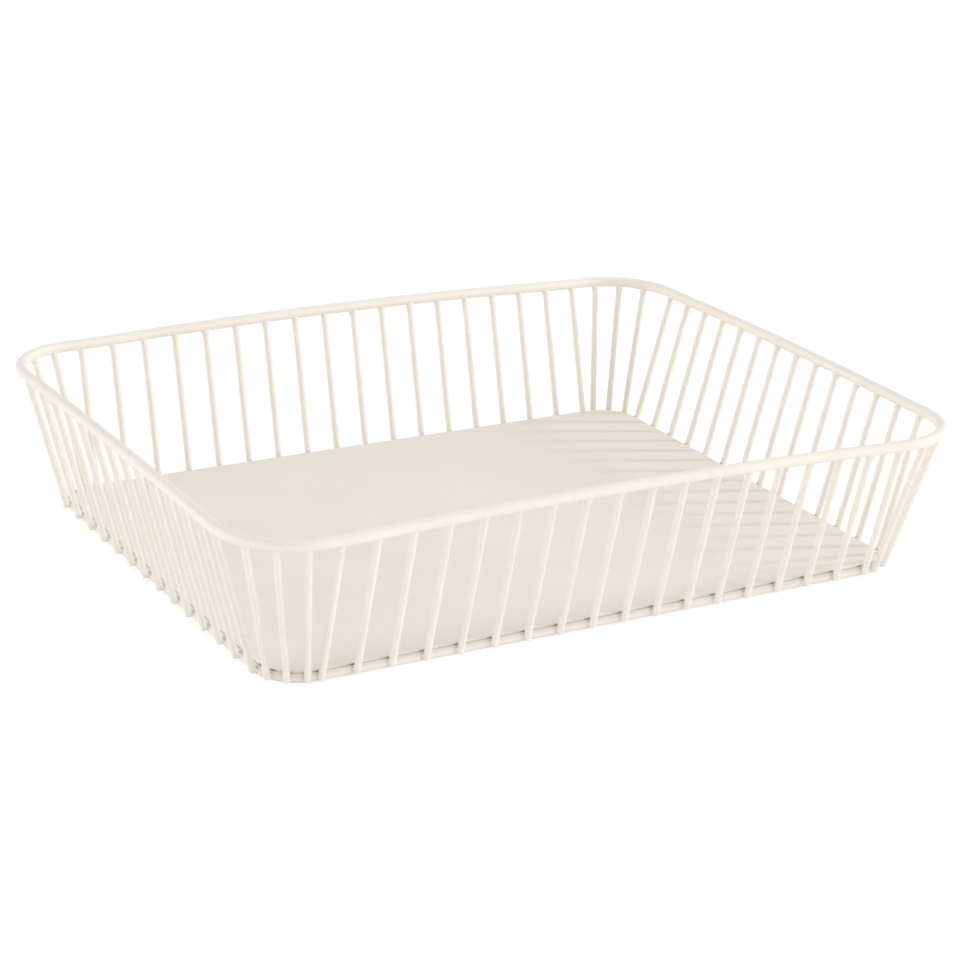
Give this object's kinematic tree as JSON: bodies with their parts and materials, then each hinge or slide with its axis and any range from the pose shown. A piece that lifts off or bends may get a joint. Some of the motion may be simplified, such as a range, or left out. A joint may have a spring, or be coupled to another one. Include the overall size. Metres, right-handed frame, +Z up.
{
  "type": "wire locker basket",
  "caption": "Shallow open-top welded wire tray with flared spoke sides, a thick rounded rim, a lighter base ring and a flat sheet base, for a locker shelf.",
  "frame": {"origin": "centre of the footprint, on the surface that the bottom ring stands on", "axes": "+Z up out of the open top, +X along the length, +Y along the width"},
  "size_m": [0.35, 0.28, 0.0718],
  "materials": {
    "coated_wire": "cream powder coat on steel wire, soft satin gloss, faint orange peel",
    "coated_sheet": "cream powder coat on thin steel sheet, satin, faint orange peel"
  },
  "bodies": {
    "root": {"back_left_corner_spoke_1": "coated_wire", "back_left_corner_spoke_2": "coated_wire", "back_left_corner_spoke_3": "coated_wire", "back_right_corner_spoke_1": "coated_wire", "back_right_corner_spoke_2": "coated_wire", "back_right_corner_spoke_3": "coated_wire", "back_spokes_1": "coated_wire", "back_spokes_2": "coated_wire", "back_spokes_3": "coated_wire", "back_spokes_4": "coated_wire", "back_spokes_5": "coated_wire", "back_spokes_6": "coated_wire", "back_spokes_7": "coated_wire", "back_spokes_8": "coated_wire", "back_spokes_9": "coated_wire", "base_plate": "coated_sheet", "bottom_ring": "coated_wire", "front_left_corner_spoke_1": "coated_wire", "front_left_corner_spoke_2": "coated_wire", "front_left_corner_spoke_3": "coated_wire", "front_right_corner_spoke_1": "coated_wire", "front_right_corner_spoke_2": "coated_wire", "front_right_corner_spoke_3": "coated_wire", "front_spokes_1": "coated_wire", "front_spokes_2": "coated_wire", "front_spokes_3": "coated_wire", "front_spokes_4": "coated_wire", "front_spokes_5": "coated_wire", "front_spokes_6": "coated_wire", "front_spokes_7": "coated_wire", "front_spokes_8": "coated_wire", "front_spokes_9": "coated_wire", "left_spokes_1": "coated_wire", "left_spokes_2": "coated_wire", "left_spokes_3": "coated_wire", "left_spokes_4": "coated_wire", "left_spokes_5": "coated_wire", "left_spokes_6": "coated_wire", "left_spokes_7": "coated_wire", "right_spokes_1": "coated_wire", "right_spokes_2": "coated_wire", "right_spokes_3": "coated_wire", "right_spokes_4": "coated_wire", "right_spokes_5": "coated_wire", "right_spokes_6": "coated_wire", "right_spokes_7": "coated_wire", "top_rim": "coated_wire"}
  },
  "joints": []
}
